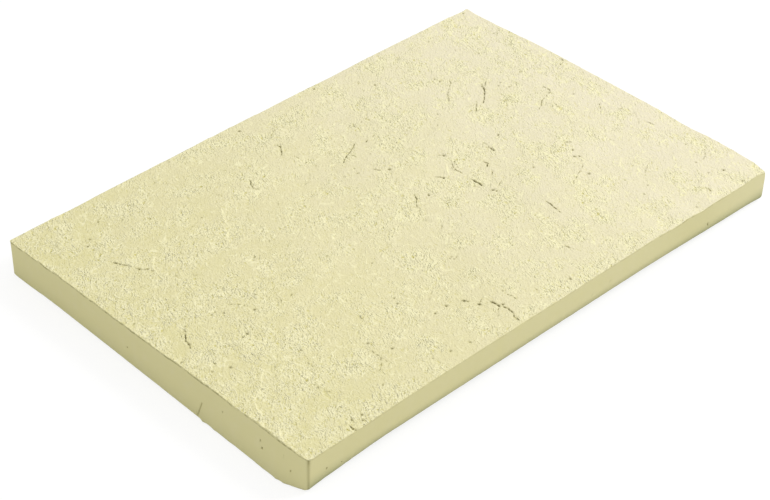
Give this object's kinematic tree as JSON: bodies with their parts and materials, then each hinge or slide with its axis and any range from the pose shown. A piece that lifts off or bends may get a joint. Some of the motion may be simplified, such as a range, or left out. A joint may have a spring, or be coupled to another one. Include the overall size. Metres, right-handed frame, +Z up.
{
  "type": "riven kerb slab",
  "caption": "Flat kerb or coping slab cast in cream reconstituted stone, with a riven top, plain sides and a rounded lower edge.",
  "frame": {"origin": "on the flat underside, below the middle of the 600 x 400 mm outline of the upper arrises", "axes": "+X along the length, +Z up through the riven face; the front long side faces -Y"},
  "size_m": [0.6077, 0.4, 0.04],
  "materials": {
    "cast_stone": "matt cast concrete, riven on top and smooth on the sides"
  },
  "bodies": {
    "root": {"kerb_slab": "cast_stone"}
  },
  "joints": []
}
